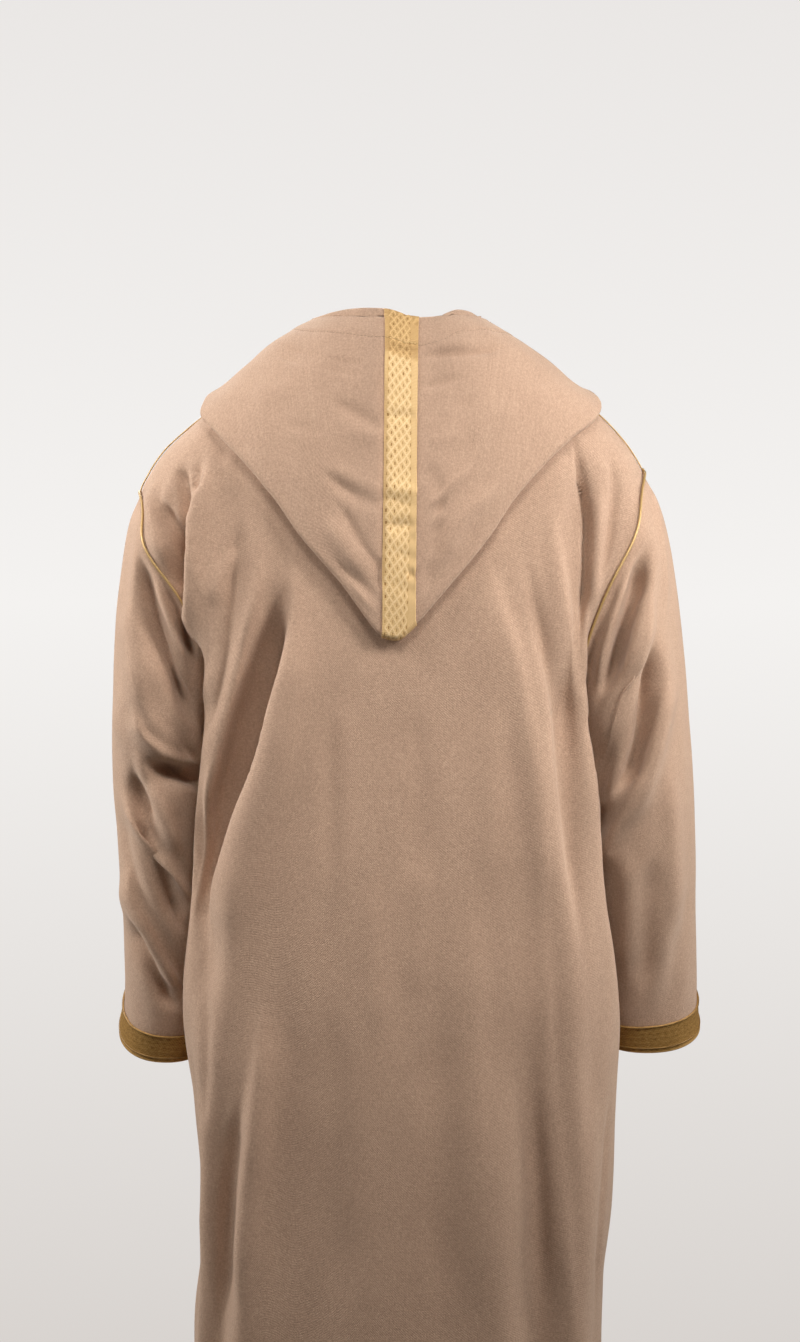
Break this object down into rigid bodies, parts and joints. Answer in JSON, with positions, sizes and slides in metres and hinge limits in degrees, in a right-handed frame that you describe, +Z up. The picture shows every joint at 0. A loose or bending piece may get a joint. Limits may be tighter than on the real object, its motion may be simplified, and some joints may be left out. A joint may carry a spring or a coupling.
{
  "type": "djellaba robe",
  "caption": "Long hooded robe as worn, hollow and open at neck, cuffs and hem, its pointed hood folded down the back, with gold braid and piping.",
  "frame": {"origin": "where the robe rests on its wearer, midway between the two points where shoulder and neck meet", "axes": "+Z up the wearer, +Y to the wearer's back, +X to the wearer's left"},
  "size_m": [0.5939, 0.3214, 1.4081],
  "materials": {
    "taupe_wool": "matt felted wool with a short nap",
    "gold_braid": "ribbed woven braid with a soft lustre",
    "gold_piping": "twisted cord with a soft lustre"
  },
  "bodies": {
    "root": {"back": "taupe_wool", "front": "taupe_wool", "sleeve_left": "taupe_wool", "sleeve_right": "taupe_wool", "hood": "taupe_wool", "hood_braid": "gold_braid", "cuff_braid_left": "gold_braid", "cuff_braid_right": "gold_braid", "armhole_piping_left": "gold_piping", "armhole_piping_right": "gold_piping", "shoulder_piping_left": "gold_piping", "shoulder_piping_right": "gold_piping"}
  },
  "joints": []
}
